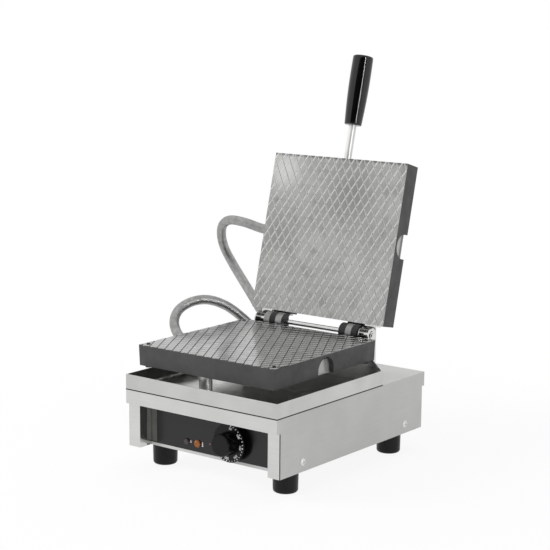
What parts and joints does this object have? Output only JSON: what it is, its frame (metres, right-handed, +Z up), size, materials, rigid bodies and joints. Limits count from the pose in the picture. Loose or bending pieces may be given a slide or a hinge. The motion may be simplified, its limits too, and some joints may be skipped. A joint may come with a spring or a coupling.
{
  "type": "waffle cone maker",
  "caption": "Electric waffle cone maker with square hinged baking plates on a stainless housing with drip tray, thermostat dial, long lid handle and armoured conduits, lid open.",
  "frame": {"origin": "centre of the footprint of the object with its lid open, on the surface that its feet stand on; the conduits are not counted", "axes": "+Z up, -Y towards the user and the control panel, +X to the user's right"},
  "size_m": [0.4239, 0.4408, 0.644],
  "materials": {
    "stainless": "satin brushed stainless sheet",
    "tray_stainless": "bright annealed stainless sheet",
    "polished_stainless": "polished stainless",
    "cast_iron": "oiled cast iron with ground working face",
    "lug_iron": "blackened cast iron",
    "ground_iron": "bare ground cast iron",
    "zinc_steel": "zinc-plated steel",
    "conduit_steel": "galvanised strip-wound conduit",
    "element_sheath": "heat-tinted alloy sheath",
    "copper": "copper tube",
    "bronze": "sintered bronze",
    "brass": "brass",
    "black_plastic": "semi-gloss black bakelite",
    "fascia_black": "matt black enamelled sheet",
    "black_rubber": "moulded black rubber",
    "nylon": "black nylon",
    "ceramic": "glazed ceramic",
    "thermostat_case": "moulded phenolic",
    "amber_lens": "translucent amber lens",
    "dark_lens": "dark red lens"
  },
  "bodies": {
    "base": {"housing_cover": "stainless", "post_left": "stainless", "post_right": "stainless", "bottom_plate": "stainless", "rear_panel": "stainless", "control_panel": "stainless", "panel_fascia": "fascia_black", "heat_lamp": "amber_lens", "power_lamp": "dark_lens", "thermostat_body": "thermostat_case", "capillary_tube": "copper", "terminal_block": "ceramic", "earth_stud": "brass", "mains_gland": "nylon", "side_screws": "zinc_steel", "foot_front_left": "black_rubber", "foot_front_right": "black_rubber", "foot_rear_left": "black_rubber", "foot_rear_right": "black_rubber", "foot_screws": "zinc_steel", "drip_tray": "tray_stainless", "tray_gasket": "black_rubber", "front_pillar": "polished_stainless", "pillar_nut": "zinc_steel", "rear_support": "tray_stainless", "lower_plate": "cast_iron", "lower_cover": "stainless", "lower_element": "element_sheath", "sensor_bulb": "copper", "lower_plate_screws": "lug_iron", "lower_lug_left": "ground_iron", "lower_lug_right": "ground_iron", "lower_lug_screws": "zinc_steel", "hinge_stand_left": "polished_stainless", "hinge_stand_right": "polished_stainless", "hinge_stand_bolts": "zinc_steel", "hinge_shaft": "polished_stainless", "shaft_clips": "polished_stainless", "lower_hose_gland": "zinc_steel", "conduit_lower": "conduit_steel", "deck_gland_lower": "zinc_steel", "deck_gland_upper": "zinc_steel"},
    "lid": {"upper_plate": "cast_iron", "upper_cover": "stainless", "upper_element": "element_sheath", "upper_cover_screws": "zinc_steel", "upper_lug_left": "lug_iron", "upper_lug_right": "lug_iron", "upper_lug_screws": "zinc_steel", "hinge_bushes": "bronze", "upper_hose_gland": "zinc_steel", "conduit_upper": "conduit_steel", "handle_rod": "polished_stainless", "handle_grip": "black_plastic"},
    "knob": {"dial_skirt": "black_plastic", "knob_grip": "black_plastic", "knob_spindle": "polished_stainless"}
  },
  "joints": [
    {"name": "lid_hinge", "type": "hinge", "parent": "base", "child": "lid", "pos_m": [0, 0.07307, 0.202], "axis": [1, 0, 0], "range_deg": [0, 103.9], "deforming": ["conduit_upper"]},
    {"name": "thermostat_turn", "type": "hinge", "parent": "base", "child": "knob", "pos_m": [0.0397, -0.19893, 0.0688], "axis": [0, 1, 0], "range_deg": [0, 270]}
  ]
}
